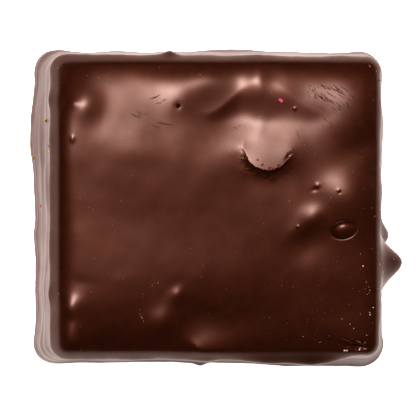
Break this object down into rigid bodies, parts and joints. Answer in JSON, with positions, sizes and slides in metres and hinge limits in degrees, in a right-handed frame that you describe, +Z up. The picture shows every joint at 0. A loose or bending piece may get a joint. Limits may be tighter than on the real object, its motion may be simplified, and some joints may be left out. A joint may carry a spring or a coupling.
{
  "type": "chocolate covered marshmallow",
  "caption": "Square hand-cut marshmallow in a dark chocolate coating, with a flat underside, a spread foot, splayed walls and soft shoulders over a gently lumpy top.",
  "frame": {"origin": "on the underside, at the middle of the outline seen from above, with the foot and the drawn-out tail counted in", "axes": "+Z up out of the top face, +X towards the side with the drawn-out tail, along the longer pair of edges, and +Y towards the side with the small knob on its shoulder"},
  "size_m": [0.0428, 0.0378, 0.0226],
  "materials": {
    "dark_chocolate": "satin to glossy set chocolate, dark warm brown",
    "pale_sugar": "tiny glinting sugar specks, off-white",
    "pink_sugar": "tiny tinted sugar crumbs, pink",
    "gold_crumb": "tiny toasted crumbs, golden",
    "broken_chocolate": "matt freshly broken chocolate, lighter brown"
  },
  "bodies": {
    "root": {"chocolate_marshmallow": "dark_chocolate"}
  },
  "joints": []
}
